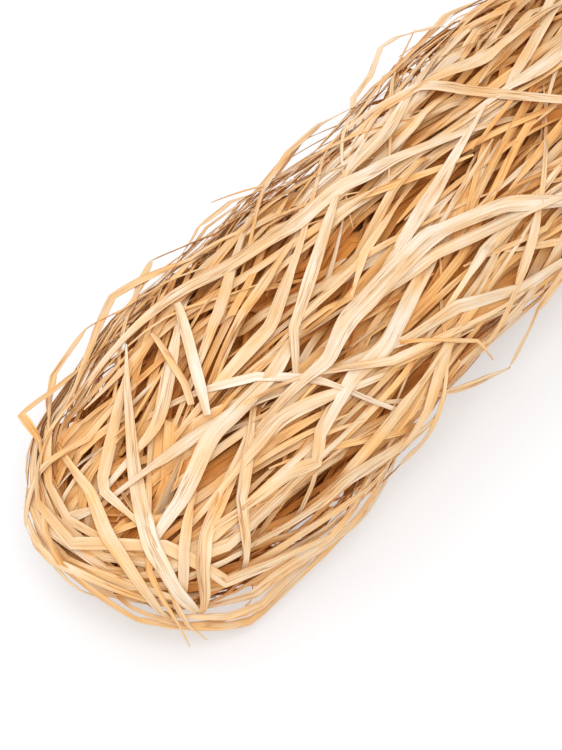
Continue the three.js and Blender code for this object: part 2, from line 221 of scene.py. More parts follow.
# Raffia's look: colours by value, and noises as scale across, scale along, detail and roughness
WHITE = (1.0, 1.0, 1.0)
# The lower, more orange stops serve mostly painted shade: strips reach them by depth, and their warmth stands
# in for light bounced between strips.
STRAW_AND_SHADE_COLOURS = ((0.0, (0.86, 0.38, 0.09)), (0.5, (0.87, 0.535, 0.225)),
                 (0.75, (0.84, 0.63, 0.40)), (1.0, (0.84, 0.742, 0.617)))
NOISE_MIDDLE = 0.5
BLOTCHES = (0.9, 0.5, 3, 0.55)
BLOTCH_TONE = 0.8
BANDS = (3.5, 0.15, 2, 0.5)
BAND_COLOURS = ((0.38, (0.86, 0.72, 0.55)), (0.58, WHITE))
BAND_STRENGTH = 0.6
LINED_PARTS = (1.6, 0.3, 1, 0.5)
LINED_SHARES = ((0.35, (0.2, 0.2, 0.2)), (0.65, (0.9, 0.9, 0.9)))
FIBRES = (18, 0.18, 3, 0.55)
FIBRE_COLOURS = ((0.40, WHITE), (0.48, (0.75, 0.57, 0.39)), (0.55, WHITE))
LINES = (6, 0.2, 2, 0.5)
LINE_COLOURS = ((0.46, WHITE), (0.50, (0.57, 0.36, 0.19)), (0.54, WHITE))
RIM_COLOURS = ((0.93, WHITE), (1.0, (0.86, 0.72, 0.54)))
RIM_STRENGTH = 0.6
SPECULAR = 0.22
LEAST_ROUGHNESS = 0.38
FIBRE_ROUGHNESS = 0.25
BUMP_STRENGTH = 0.15
BUMP_HEIGHT = 0.0003  # in metres

# Floor, sky, lights and camera, in metres
FLOOR_SIZE = 6.0
FLOOR_LOOK = {"Base Color": (0.50, 0.51, 0.525, 1.0), "Emission Color": (1.0, 1.0, 1.0, 1.0),
              "Emission Strength": 0.435, "Roughness": 0.9, "Specular IOR Level": 0.1}
SKY_LOOK = {"Color": (1.0, 0.99, 0.98, 1.0), "Strength": 0.84}
LIGHTS = [  # name, place, size and power
    ["key", (-0.3, 1.1, 1.5), 1.3, 6.0],
    ["fill", (-0.61, -0.51, 1.50), 1.0, 12.2],
]
LIGHT_TARGET = (0.0, 0.0, 0.03)
VIEW_TARGET = (-0.0706, -0.0047, 0.030)
VIEW_AZIMUTH = math.radians(-50)
VIEW_ELEVATION = math.radians(52)
VIEW_DISTANCE = 0.9
VIEW_CLIP = (0.05, 20.0)
PHOTO_PIXELS_HIGH = 750
FOCAL_PIXELS = 2735.6
SENSOR_WIDTH = 36.0  # in millimetres

# The loose strips, from first laid to last: name, width, paleness from 0 to 1, and route.
# A route's points are [along, across, lift]: along the bundle from its middle, across from its
# centre line and on down the side, and off the heap where the strip stands clear of it.
LOOSE_STRIPS = [
    ["end_loop_low", 2.5, 0.3, [-152, 36], [-163, 32], [-171, 23], [-180, 18], [-188, 4, 1], [-192, -38, 1],
     [-186, -51, 1], [-163, -77, 3], [-148, -81, 4]],
    ["end_loop_high", 2.7, 0.5, [-128, 22], [-140, 22], [-160, 32], [-183, 36, 1], [-187, 28, 1],
     [-189, 10, 1], [-183, -19], [-177, -38]],
    ["fold_strip", 3.8, 0.6, [-160, 33], [-171, 26], [-177, 3], [-156, -26], [-150, -54], [-105, -74]],
    ["end_strip_a", 4.2, 0.5, [-152, 19], [-155, 7], [-166, -8], [-178, -41]],
    ["end_strip_b", 3.6, 0.6, [-121, 23], [-148, 7], [-152, 3], [-153, -5]],
    ["end_strip_c", 3.3, 0.5, [-139, -22], [-153, -32], [-165, -44]],
    ["side_strip_a", 4.4, 0.6, [-114, -22], [-144, -34], [-153, -42], [-162, -54]],
    ["side_strip_b", 3.8, 0.7, [-111, -22], [-127, -34], [-136, -50]],
    ["kinked_strip_a", 4.0, 0.8, [-127, -37], [-111, -40], [-102, -44], [-95, -38], [-88, -36], [-78, -36]],
    ["lower_strip_a", 4.3, 0.7, [-121, -26], [-102, -26], [-83, -33]],
    ["lower_strip_b", 4.2, 0.5, [-58, -50], [-96, -55]],
    ["lower_strip_c", 4.0, 0.7, [-112, -55], [-98, -56], [-62, -64]],
    ["side_loop_a", 3.0, 0.4, [-88, -74], [-80, -77], [-70, -78], [-61, -75], [-50, -61]],
    ["side_strip_c", 4.0, 0.5, [-66, -61], [-58, -59], [-38, -47], [-31, -46]],
    ["pale_strip", 4.2, 0.9, [-136, -3], [-106, -12]],
    ["split_strip_a", 3.0, 0.4, [-148, -12], [-167, -28], [-173, -40, 1], [-178, -55, 4], [-179, -62, 10]],
    ["split_strip_b", 3.0, 0.5, [-160, -26], [-172, -47, 1], [-176, -60, 3], [-174, -76, 8]],
    ["wide_slant_strip", 4.4, 0.9, [-98, 20], [-116, 9], [-125, 5], [-131, 5]],
    ["thin_slant_strip", 2.4, 0.5, [-101, 28], [-110, 6], [-114, 0]],
    ["slant_strip", 3.4, 0.8, [-63, 26], [-83, 15], [-98, 9]],
    ["middle_strip_a", 4.4, 0.7, [-54, 9], [-77, -2], [-104, -2]],
    ["middle_strip_b", 3.3, 0.4, [-57, 14], [-81, 8]],
    ["cross_strip_a", 3.6, 1.0, [-107, 0], [-94, -10], [-83, -29]],
    ["pale_wide_strip", 5.4, 1.0, [-79, -11], [-90, -14], [-117, -12], [-150, -20]],
    ["long_crossing_strip", 5.4, 0.9, [-107, 35], [-139, 2], [-159, -22], [-166, -40], [-168, -52]],
    ["upright_strip", 3.8, 0.8, [-83, -17], [-73, -8], [-26, 15]],
    ["kinked_strip_b", 2.8, 0.6, [-66, -7], [-34, -6], [-20, -10]],
    ["middle_strip_c", 2.8, 0.5, [-13, 0], [-34, -5], [-42, -9]],
    ["ridge_strip", 4.8, 0.8, [-104, 36], [-70, 26], [-40, 21], [-14, 19], [2, 15], [27, 5]],
    ["pale_stick", 3.4, 1.0, [-88, 28], [-114, -7]],
    ["cross_strip_b", 4.0, 0.9, [-58, -33], [-50, -36], [-27, -40], [-3, -51], [20, -56]],
    ["wide_strip_a", 5.6, 1.0, [-20, -23], [-57, -33], [-75, -33], [-83, -35]],
    ["thin_long_strip", 2.6, 0.6, [-88, -22], [-59, -38], [-28, -47]],
    ["lower_strip_d", 3.4, 0.8, [-16, -35], [-6, -33], [11, -33]],
    ["lower_strip_e", 3.4, 0.6, [20, -36], [-1, -48]],
    ["tail_strip", 3.2, 0.1, [-40, -44], [-27, -54], [-24, -64, 2]],
    ["side_loop_b", 3.2, 0.6, [-48, -60], [-25, -73, 1], [-14, -78, 3], [-6, -73, 1], [3, -64], [24, -57]],
    ["wide_strip_b", 5.0, 0.9, [-40, -20], [-25, -22], [15, -33]],
    ["leaf_strip", 6.0, 1.0, [-26, -13], [46, 6]],
    ["strip_beside_leaf", 3.4, 0.8, [-2, -15], [34, -6]],
    ["widest_strip", 6.4, 1.0, [-85, -24], [-78, -25], [-58, -18], [-14, -18], [12, -27], [28, -37]],
    ["far_strip_a", 4.4, 0.8, [32, 28], [13, 23], [-4, 22]],
    ["far_cross_strip", 4.0, 0.8, [28, 31], [36, 27], [44, 19], [66, -18]],
    ["far_strip_b", 4.2, 0.8, [96, 15], [63, 7]],
    ["far_strip_c", 5.4, 0.9, [92, 2], [72, 2], [60, 4]],
    ["far_strip_d", 4.4, 0.7, [42, 25], [64, 19], [95, 17]],
    ["left_corner_strip", 3.2, 0.3, [-112, 46], [-121, 50, 3], [-143, 52, 11], [-148, 45, 2]],
    ["left_loop_strip", 3.2, 0.4, [-84, 44], [-95, 50, 3], [-104, 57, 9], [-122, 59, 10], [-130, 55, 6],
     [-137, 48, 1]],
    ["left_bow_strip", 3.4, 0.5, [-66, 44], [-91, 55, 9], [-105, 52, 6], [-128, 44]],
    ["back_bow_strip", 3.0, 0.5, [-52, 46], [-72, 54, 8], [-82, 52, 5], [-92, 47]],
    ["back_kink_strip", 3.0, 0.4, [-72, 46], [-51, 53, 6], [-36, 52, 5], [-26, 48]],
    ["tip_strip", 3.0, 0.4, [-14, 44], [-24, 49, 2], [-38, 57, 10]],
    ["upper_bow_strip", 2.8, 0.5, [-26, 45], [-20, 49, 2], [-6, 52, 5], [11, 52, 5], [30, 45]],
    ["hook_strip", 2.6, 0.5, [20, 46], [27, 50, 4], [40, 52, 6], [51, 52, 11], [59, 52, 10], [66, 51, 7],
     [72, 48, 3]],
    ["upright_stick", 3.2, 0.4, [43, 45], [48, 49, 2], [68, 53, 8]],
    ["far_bow_strip", 3.2, 0.4, [44, 47], [81, 52, 4], [90, 49, 2], [98, 44]],
    ["far_loop_low", 3.6, 0.5, [118, 38], [140, 44], [163, 46, 1], [184, 30, 2], [191, 6, 2], [184, -22, 2],
     [160, -44, 1], [138, -46]],
    ["far_loop_high", 4.0, 0.7, [104, 6], [152, 14], [176, 16, 1], [188, 2, 2], [178, -16, 1], [152, -22],
     [120, -26]],
    ["back_strip", 4.0, 0.6, [-70, 56], [-45, 62], [-18, 60], [10, 66]],
]

# Ends of loose strips that stop in the open: the route's first end, its last, or both
OPEN_FIRST = {"pale_stick", "thin_slant_strip", "long_crossing_strip"}
OPEN_LAST = {"pale_stick", "thin_slant_strip", "leaf_strip", "strip_beside_leaf", "tail_strip", "tip_strip",
             "upright_stick", "split_strip_a", "split_strip_b"}
CUT_SQUARE = {"pale_stick", "thin_slant_strip"}


def half_height(along):
    share = rising(np.abs(along), TAPER_START, STRAIGHT_HALF_LENGTH + FLAT_HALF_WIDTH)
    return between((HALF_HEIGHT_MIDDLE, HALF_HEIGHT_ENDS), share)


def out_of_line(along, across):
    """The nearest places on the bundle's centre line, how far they are, and the direction out from them."""
    straight = np.clip(along, -STRAIGHT_HALF_LENGTH, STRAIGHT_HALF_LENGTH)
    reach = np.hypot(along - straight, across)
    safe = np.maximum(reach, TINY)
    return straight, reach, (along - straight) / safe, across / safe


def folded(along, across, under):
    """The same, with places past the equator folded over it, and which places are on the lower sheet."""
    straight, reach, out_x, out_y = out_of_line(along, across)
    past = reach > EQUATOR
    reach = np.where(past, 2 * EQUATOR - reach, reach)
    return straight, reach, out_x, out_y, np.logical_xor(under, past)


def place(along, across, level, under):
    """Points in space, in millimetres. Level is the height above the bundle's mid height, in its middle."""
    straight, reach, out_x, out_y, under = folded(along, across, under)
    flat = np.minimum(reach, FLAT_HALF_WIDTH)
    turn = (reach - flat) / GIRTH_RADIUS
    turn = np.where(under, math.pi - turn, turn)
    foot_x = straight + out_x * flat
    rise = half_height(foot_x)
    radius = rise * level / HALF_HEIGHT_MIDDLE
    out = radius * np.sin(turn)
    points = [foot_x + out_x * out, out_y * (flat + out), rise + radius * np.cos(turn)]
    return np.stack(points, -1) + HEAP_MIDDLE


def unit(vectors):
    return vectors / np.maximum(np.linalg.norm(vectors, axis=-1, keepdims=True), TINY)


def between(pair, share):
    """The value at a share of the way from the first of a pair to the second."""
    return pair[0] + (pair[1] - pair[0]) * share


def rising(values, start, stop):
    """From 0 at the start to 1 at the stop, with soft ends."""
    share = np.clip((values - start) / (stop - start), 0, 1)
    return share * share * (3 - 2 * share)


def eased(values, passes):
    """Values smoothed along a strip, with its tips kept."""
    values = np.array(values, float)
    for _ in range(passes):
        values[1:-1] = (values[:-2] + 2 * values[1:-1] + values[2:]) / 4
    return values


def to_tip(count):
    """How far each of a strip's samples is from the nearer tip."""
    samples = np.arange(count)
    return STEP * np.minimum(samples, samples[::-1])


def by_run(values, corners, count):
    """The values of a strip's runs between its kinks, for each of its samples."""
    return values[np.searchsorted(corners, np.arange(count))]


# The field of levels that the strips laid so far have reached, for the upper and the lower sheet
ROWS = int(2 * (STRAIGHT_HALF_LENGTH + EQUATOR) / CELL) + FIELD_MARGIN
COLUMNS = int(2 * EQUATOR / CELL) + FIELD_MARGIN
LAY_ACROSS = np.linspace(-1, 1, 5)  # places across a strip that are laid on it
LAY_MIDDLE = len(LAY_ACROSS) // 2
APART = STEP * (np.arange(LONGEST_RUN)[:, None] - np.arange(LONGEST_RUN)[None, :])


def cells_at(along, across, under):
    straight, reach, out_x, out_y, under = folded(along, across, under)
    row = np.round((straight + out_x * reach) / CELL + ROWS / 2).astype(int).clip(0, ROWS - 1)
    column = np.round(out_y * reach / CELL + COLUMNS / 2).astype(int).clip(0, COLUMNS - 1)
    return (under.astype(int) * ROWS + row) * COLUMNS + column


def top_level(along, across, under):
    """Where the bulk should end: lower inside the near end's loops, and in the hollow on the near side."""
    reach = out_of_line(along, across)[1]
    beside = np.where(under, 1.0, rising(reach, *END_SINK_REACHES))
    girth = np.where(under, 2 * EQUATOR - reach, reach)
    dent = (across < 0) * rising(along, *DENT_RISE) * (1 - rising(along, *DENT_FALL))
    dent = dent * rising(girth, *DENT_TOP) * (1 - rising(girth, *DENT_FOOT))
    return TOP_LEVEL - END_SINK * rising(along, *END_SINK_ALONG) * beside - DENT * dent


def new_strip(name, along, across):
    """A strip on the upper sheet that lies on the heap all along, with its heading left to be found."""
    none = np.zeros(len(along))
    return SimpleNamespace(name=name, along=along, across=across, under=none > 0, turned=none > 0,
                           heading=none, lift=none, loft=none, clear=none, first=0, last=0)


def ready_to_lay(strip):
    """Gives a strip the cells under it, and how far its rolled section stands above its middle there."""
    level = between((START_LEVEL, TOP_LEVEL), strip.order)
    heading = np.arctan2(np.gradient(strip.across), np.gradient(strip.along))
    heading = np.where(strip.turned, strip.heading, heading)
    left = np.stack([-np.sin(heading), np.cos(heading)], -1)
    ahead = place(strip.along + left[:, 0], strip.across + left[:, 1], level, strip.under)
    behind = place(strip.along - left[:, 0], strip.across - left[:, 1], level, strip.under)
    stretch = np.maximum(np.linalg.norm(ahead - behind, axis=-1) / 2, LEAST_STRETCH)
    half = strip.width / 2 * np.cos(strip.roll) / stretch
    along = strip.along[:, None] + left[:, :1] * half[:, None] * LAY_ACROSS
    across = strip.across[:, None] + left[:, 1:] * half[:, None] * LAY_ACROSS
    strip.cells = cells_at(along, across, strip.under[:, None])
    strip.stand = (strip.width / 2 * np.sin(strip.roll))[:, None] * LAY_ACROSS
    strip.level = level
    strip.top = top_level(strip.along, strip.across, strip.under)


def lay(strip, part, field, least_level=0.0):
    """Lays one run of a strip on what is under it, and raises the field."""
    cells = strip.cells[part]
    stand = strip.stand[part]
    loose_share = strip.order[part].mean() ** 2
    low = (field[cells] - stand).max(axis=1) + between(LAY_GAPS, loose_share)
    count = len(low)
    sag = between(STIFFNESSES, loose_share) * APART[:count, :count] ** 2
    level = (low[None, :] - sag).max(axis=1)
    strip.level[part] = np.maximum(level, least_level)
    on_heap = strip.level[part] - strip.lift[part]
    np.maximum.at(field, cells, on_heap[:, None] + stand + THICKNESS)


def runs_of(strip, start=0, stop=None):
    """The runs of a strip between its kinks, none longer than what is laid at once."""
    stop = len(strip.along) if stop is None else stop
    cuts = [start] + [corner for corner in strip.corners if start < corner < stop] + [stop]
    parts = []
    for first, last in zip(cuts, cuts[1:]):
        pieces = max(math.ceil((last - first) / LONGEST_RUN), 1)
        marks = np.linspace(first, last, pieces + 1).astype(int)
        parts += [slice(low, high) for low, high in zip(marks, marks[1:]) if high > low]
    return parts


def spread_evenly(number, step):
    """Places from 0 to 1 that fill the range evenly as the number counts on."""
    return (0.5 + number * step) % 1


def wander(random, number, order):
    """The line of a lock of strips: straight runs with kinks, along the bundle and over its ends."""
    count = int(random.uniform(*BULK_LENGTHS) / STEP)
    along = between((-START_ALONG, START_ALONG), spread_evenly(number, EVEN_STEPS.along))
    across = between((-START_ACROSS, START_ACROSS), spread_evenly(number, EVEN_STEPS.across))
    under = number % 2 == 1
    heading = math.pi * (number // 2 % 2)
    left = 0.0
    roll = 0.0
    rows = []
    corners = []
    for sample in range(count):
        if left <= 0:
            corners.append(max(sample - 1, 0))
            left = random.gamma(RUN_SHAPE, RUN_SCALE)
            spread = np.interp(abs(along), END_HEADING, (HEADING_SPREAD, END_HEADING_SPREAD))
            lengthwise = 0.0 if math.cos(heading) > 0 else math.pi
            heading = lengthwise + random.normal(0, spread)
            roll = random.normal(0, between(ROLLS, order ** 2))
        along += STEP * math.cos(heading)
        across += STEP * math.sin(heading)
        left -= STEP
        straight, reach, out_x, out_y = out_of_line(along, across)
        if reach > EQUATOR:
            along = straight + out_x * (2 * EQUATOR - reach)
            across = out_y * (2 * EQUATOR - reach)
            outward = math.cos(heading) * out_x + math.sin(heading) * out_y
            heading = math.atan2(math.sin(heading) - 2 * outward * out_y,
                                 math.cos(heading) - 2 * outward * out_x)
            under = not under
        rows.append((along, across, under, heading, roll))
    along, across, under, heading, roll = (np.array(column) for column in zip(*rows))
    line = SimpleNamespace(along=along, across=across, under=under, heading=heading, roll=roll)
    line.corners = corners[1:]
    line.turned = np.zeros(count, bool)
    for flip in np.flatnonzero(under[1:] != under[:-1]):
        line.turned[max(flip - 1, 0):flip + 3] = True  # the samples beside the equator
    return line


def add_loops(random, strip):
    """Lets a bulk strip stand off the heap's top in a few places."""
    count = len(strip.along)
    loft = np.zeros(count)
    for _ in range(random.poisson(to_tip(count).max() * 2 / LOFT_SPACING)):
        middle = random.uniform(0, STEP * count)
        half = random.uniform(*LOFT_HALF_LENGTHS)
        rise = min(random.exponential(LOFT), LOFT_LIMIT)
        shape = np.clip((STEP * np.arange(count) - middle) / half, -1, 1)
        loft += rise * np.cos(shape * math.pi / 2) ** 2
    reach = out_of_line(strip.along, strip.across)[1]
    strip.loft = loft * (1 - rising(reach, *LOFT_REACHES)) * ~strip.under
    strip.clear = strip.loft


def lock(random, number):
    """Bulk strips that lie side by side along one line."""
    lock_order = spread_evenly(number, EVEN_STEPS.order) ** OUTWARD
    line = wander(random, number, lock_order)
    lock_tone = random.normal(*LOCK_TONE)
    size = random.choice(LOCK_SIZES)
    run = STEP * np.arange(len(line.along))
    wave = random.uniform(*ORDER_WAVES)
    phase = random.random()
    strips = []
    for place_in_lock in range(size):
        first = random.integers(0, 1 + len(run) // TRIM)
        last = len(run) - random.integers(0, 1 + len(run) // TRIM)
        kept = slice(first, last)
        count = last - first
        spacing = LOCK_SPACING * (place_in_lock - (size - 1) / 2) + random.normal(0, LOCK_SPACING_SPREAD)
        weave = np.sin(run[kept] / random.uniform(*WEAVE_LENGTHS) + random.uniform(*WEAVE_PHASES))
        apart = np.where(line.under[kept], -spacing, spacing) * (1 + WEAVE * weave)
        heading = line.heading[kept]
        along = line.along[kept] - apart * np.sin(heading)
        strip = new_strip(None, along, line.across[kept] + apart * np.cos(heading))
        strip.heading = heading
        strip.under = line.under[kept]
        strip.turned = line.turned[kept]
        strip.corners = [corner - first for corner in line.corners if first < corner < last - 1]
        rolls = random.normal(0, between(ROLLS, lock_order ** 2) / 2, len(strip.corners) + 1)
        strip.roll = eased(line.roll[kept] + by_run(rolls, strip.corners, count), 1)
        order = lock_order + random.normal(0, ORDER_SPREAD)
        swing = ORDER_SWING * np.sin(2 * math.pi * (run[kept] / wave + phase))
        sink = 0.0 if random.random() < OPEN_TIPS else TIP_SINK
        strip.order = np.clip(order + swing - sink * (1 - np.minimum(to_tip(count) / TIP_RUN, 1)), 0, 1)
        width = np.clip(BULK_WIDTH * math.exp(random.normal(0, BULK_WIDTH_SPREAD)), *BULK_WIDTH_LIMITS)
        strip.width = width * np.clip(to_tip(count) / random.uniform(*TIP_TAPERS) + TIP_WIDTH, 0, 1)
        strip.tone = lock_tone + random.normal(0, BULK_TONE_SPREAD)
        if order > LOFT_ORDER:
            add_loops(random, strip)
        strips.append(strip)
    return strips


def short_strip(random, kind):
    """A wisp or a filler: a short strip with a kink in its middle third, and its tips in the open."""
    length = random.uniform(*kind.lengths)
    count = int(length / STEP)
    kink = random.integers(count // 3, 2 * count // 3)
    heading = np.full(count, random.normal(0, kind.heading_spread))
    heading[kink:] += random.normal(0, HEADING_SPREAD)
    along = random.uniform(-kind.along, kind.along) - length / 2 + STEP * np.cumsum(np.cos(heading))
    across = random.uniform(-kind.across, kind.across) + STEP * np.cumsum(np.sin(heading))
    strip = new_strip(None, along, across)
    strip.corners = [kink]
    strip.roll = np.full(count, random.normal(0, ROLLS[1] / 2))
    strip.order = np.full(count, kind.order)
    strip.width = random.uniform(*kind.widths) * np.clip(to_tip(count) / SHORT_TAPER + TIP_WIDTH, 0, 1)
    strip.tone = random.normal(*kind.tone)
    return strip


def straightened(points):
    """A route's points with those left out that a straight run passes closely enough."""
    along_run = unit(points[-1] - points[0])
    from_first = points - points[0]
    off = np.linalg.norm(from_first - (from_first @ along_run)[:, None] * along_run, axis=1)
    worst = int(off.argmax())
    if off[worst] < SLACK:
        return [points[0], points[-1]]
    return straightened(points[:worst + 1])[:-1] + straightened(points[worst:])


def loose(random, name, width, paleness, *route):
    """A loose strip: its route cut into samples, with a tail where it runs on under the others."""
    points = straightened(np.array([(*point, 0.0)[:3] for point in route], float))
    tail_count = int(TAIL / STEP)
    steps = STEP * np.arange(1, tail_count + 1)[:, None]

    def tail(end, before):
        direction = unit((end - before)[:2])
        sideways = np.array([-direction[1], direction[0]])
        places = end[:2] + steps * direction + random.normal(0, TAIL_BEND) * steps ** 2 * sideways
        return np.concatenate([places, np.zeros((tail_count, 1))], axis=1)

    body = [points[0][None]]
    corners = []
    for here, there in zip(points, points[1:]):
        count = max(round(np.linalg.norm((there - here)[:2]) / STEP), 1)
        shares = np.arange(1, count + 1)[:, None] / count
        body.append(here + (there - here) * shares)
        corners.append(sum(map(len, body)) - 1)
    body = np.concatenate(body)
    first = 0
    parts = [body]
    orders = [np.ones(len(body))]
    tail_orders = np.linspace(*TAIL_ORDERS, tail_count)
    if name not in OPEN_FIRST:
        parts.insert(0, tail(points[0], points[1])[::-1])
        orders.insert(0, tail_orders[::-1])
        first = tail_count
    if name not in OPEN_LAST:
        parts.append(tail(points[-1], points[-2]))
        orders.append(tail_orders)
    along, across, lift = eased(np.concatenate(parts), BEND_PASSES if width > WIDE_STRIP else 0).T
    total = len(along)
    strip = new_strip(name, along, across)
    strip.lift = lift
    strip.clear = lift
    strip.first = first
    strip.last = first + len(body)
    strip.corners = [first + corner for corner in corners[:-1]]
    strip.order = np.concatenate(orders)
    rolls = random.normal(0, LOOSE_ROLL, len(strip.corners) + 1)
    strip.roll = eased(by_run(rolls, strip.corners, total), 1)
    share = np.clip((np.arange(total) - first) / len(body), 0, 1)
    strip.width = width * (MIDDLE_WIDTH - WIDTH_LOSS * np.abs(2 * share - 1) ** WIDTH_CURVE)
    if name not in CUT_SQUARE:
        strip.width *= np.clip(to_tip(total) / TAPER + TAPER_TIP, 0, 1) ** TAPER_CURVE
    strip.tone = LEAST_TONE + PALENESS_TONE * paleness
    strip.sink = LOOSE_SINK
    return strip


def end_arc(random, end):
    """A strip round one end, -1 for the near and 1 for the far one, with its tips under the others."""
    side = 1 if random.random() < ARC_FAR_SHARE else -1
    reach = random.uniform(*ARC_REACHES)
    drift = random.uniform(*ARC_REACHES) - reach
    kinks = random.integers(FEWEST_ARC_KINKS, len(ARC_ANGLES) + 1)
    route = [[end * random.uniform(*ARC_STARTS), side * reach]]
    for number, angle in enumerate(ARC_ANGLES[:kinks]):
        angle = math.radians(angle + random.normal(0, ARC_ANGLE_SPREAD))
        here = reach + drift * number / len(ARC_ANGLES)
        along = end * (STRAIGHT_HALF_LENGTH + here * math.cos(angle))
        route.append([along, side * here * math.sin(angle)])
    strip = loose(random, None, random.uniform(*ARC_WIDTHS), random.uniform(*ARC_PALENESS), *route)
    strip.sink = random.uniform(*ARC_SINKS)
    return strip


def low_strip(random, row):
    """A strip low on the near side, with its tips under the others."""
    strip = loose(random, None, *row)
    strip.roll = strip.roll + LOW_ROLL
    return strip


def fringe(random, number):
    """A thin strip that bows a little off the far side, with its tips under the others."""
    start = between(FRINGE_STARTS, (number + random.random()) / FRINGE_COUNT)
    length = random.uniform(*FRINGE_LENGTHS)
    reach = random.uniform(*FRINGE_REACHES)
    lift = random.uniform(*FRINGE_LIFTS)
    peak = start + length * random.uniform(*FRINGE_PEAKS)
    route = [[start, reach], [peak, reach + lift, lift], [start + length, reach]]
    return loose(random, None, random.uniform(*FRINGE_WIDTHS), random.uniform(*FRINGE_PALENESS), *route)


def pressed(level, reached, target):
    """Levels moved so that the bulk's top is at the target: its outer layers as laid, the inner pressed."""
    depth = reached - level
    inner = (target - START_LEVEL - FREE_DEPTH) / np.maximum(reached - START_LEVEL - FREE_DEPTH, 1.0)
    return target - np.where(depth < FREE_DEPTH, depth, FREE_DEPTH + (depth - FREE_DEPTH) * inner)


def straighter(levels):
    """A run's levels, drawn towards the straight line that fits them best."""
    steps = np.arange(len(levels)) - (len(levels) - 1) / 2
    slope = (steps * levels).sum() / max((steps ** 2).sum(), 1)
    return between((levels, levels.mean() + slope * steps), STRAIGHTNESS)


def blurred(values):
    """Values of the field, spread over their neighbours."""
    for _ in range(BLUR_PASSES):
        for axis in (1, 2):
            values = (values + np.roll(values, 1, axis) + np.roll(values, -1, axis)) / 3
    return values


def lay_inside_out(bulk, upper_strips, field):
    """Lays the bulk strips' runs by their order, and the upper strips' tails among them."""
    jobs = []
    for number, strip in enumerate(bulk + upper_strips):
        ready_to_lay(strip)
        parts = runs_of(strip, 0, strip.first) + runs_of(strip, strip.last)
        jobs += [(strip.order[part].mean(), number, strip, part) for part in parts]
    jobs.sort(key=lambda job: job[:2])
    for _, _, strip, part in jobs:
        lay(strip, part, field)


def mean_top(field):
    """The level that the field has reached round each cell, with the two sheets blended where they meet."""
    along = (np.arange(ROWS)[:, None] - ROWS / 2) * CELL
    across = (np.arange(COLUMNS)[None, :] - COLUMNS / 2) * CELL
    reach = out_of_line(along, across)[1]
    inside = (reach < EQUATOR)[None].astype(float).repeat(2, 0)
    reached = blurred(field.reshape(inside.shape) * inside) / np.maximum(blurred(inside), TINY)
    reached = between((reached, reached[::-1]), rising(reach, EQUATOR - SHEET_BLEND, EQUATOR) / 2)
    return reached.ravel()


def fit_to_form(strip, reached):
    """Presses a strip to the bundle's form, and makes its runs straighter."""
    strip.level = pressed(strip.level, reached[strip.cells[:, LAY_MIDDLE]], strip.top)
    for part in runs_of(strip):
        level = straighter(strip.level[part])
        excess = (level - strip.top[part]).max() - STICKS_OUT
        strip.level[part] = level - max(excess, 0)


def fill_hollows(batches, field):
    """Lays the strip of each batch that lies over the deepest hollow, and gives those strips."""
    fillers = []
    for batch in batches:
        for strip in batch:
            ready_to_lay(strip)
            strip.hollow = (strip.top - field[strip.cells[:, LAY_MIDDLE]]).clip(0).mean()
        filler = max(batch, key=lambda strip: strip.hollow)
        for part in runs_of(filler):
            lay(filler, part, field)
            filler.level[part] = straighter(filler.level[part])
        fillers.append(filler)
    return fillers


def lay_on_top(strip, field):
    """Lays an upper strip's route on the bulk, and lets its tails come down from there."""
    for part in runs_of(strip, strip.first, strip.last):
        lay(strip, part, field, HALF_HEIGHT_MIDDLE + strip.lift[part] - strip.sink)
        laid = strip.level[part]
        straight = straighter(laid)
        strip.level[part] = straight + max((laid - straight).max() - BURIED, 0)
    samples = np.arange(len(strip.level))
    nearest = samples.clip(strip.first, strip.last - 1)
    free = 1 - rising(STEP * np.abs(samples - nearest), 0, TAIL_EASE)
    strip.level = between((strip.level, strip.level[nearest]), free)


def settle(strip, passes, covered, field):
    """Eases a strip, lets its loops stand where nothing covers them, and paints shade on it: the deeper it
    lies, the browner.
    """
    free = eased(1.0 - covered[strip.cells].any(axis=1), LOFT_EASE_PASSES)
    strip.level = eased(strip.level - strip.lift, passes) + strip.lift + strip.loft * free ** 2
    # Painted shade: the deeper a strip lies under the top that the field has reached, the browner its tone.
    depth = eased(field[strip.cells].max(axis=1) - strip.level, EASE_PASSES).clip(0)
    strip.tone = strip.tone - depth * (PAINTED_DEPTH_SHADE + PAINTED_DEPTH_SHADE_GAIN * depth)


def lay_all(bulk, filler_batches, wisps, upper_strips):
    """Lays the bulk, fits it to the bundle's form and lays the other strips on it. Gives its fillers."""
    field = np.full(2 * ROWS * COLUMNS, START_LEVEL)
    lay_inside_out(bulk, upper_strips, field)
    reached = mean_top(field)
    for strip in bulk + upper_strips:
        fit_to_form(strip, reached)
    field[:] = START_LEVEL
    for strip in bulk:
        np.maximum.at(field, strip.cells, strip.level[:, None] + strip.stand + THICKNESS)
    fillers = fill_hollows(filler_batches, field)
    for strip in wisps:
        ready_to_lay(strip)
        for part in runs_of(strip):
            lay(strip, part, field)
    covered = np.zeros(len(field), bool)
    for strip in upper_strips:
        lay_on_top(strip, field)
        covered[strip.cells[strip.first:strip.last]] = True
    for strip in upper_strips:
        settle(strip, LOOSE_EASE_PASSES, covered, field)
    for strip in bulk + fillers + wisps:
        settle(strip, EASE_PASSES, covered, field)
    return fillers


def off_the_floor(points):
    """Points with the lowest ones pressed together above the floor."""
    low = FLOOR_EASE * np.exp(np.minimum(points[..., 2] / FLOOR_EASE - 1, 0))
    points[..., 2] = np.where(points[..., 2] < FLOOR_EASE, low, points[..., 2])
    return points


